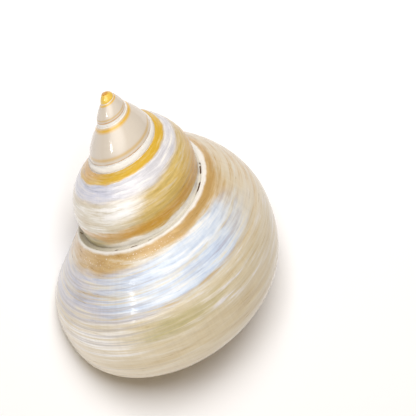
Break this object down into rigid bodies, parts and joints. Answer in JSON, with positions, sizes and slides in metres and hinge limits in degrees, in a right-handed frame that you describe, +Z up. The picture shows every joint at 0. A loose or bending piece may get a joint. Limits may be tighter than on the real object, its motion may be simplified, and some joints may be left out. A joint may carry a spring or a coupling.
{
  "type": "turban shell",
  "caption": "Polished pearly turban shell with a pointed spire, swollen rounded whorls, a white ridge along the seam and a wide round mouth on its underside.",
  "frame": {"origin": "on the ground, under the middle of the shell's bounding box", "axes": "+Z up as the shell lies on its mouth, -Y towards the viewer below the picture, the spire leaning back towards +Y and -X"},
  "size_m": [0.044, 0.051, 0.0384],
  "materials": {
    "nacre": "polished pearly gloss"
  },
  "bodies": {
    "root": {"shell": "nacre"}
  },
  "joints": []
}
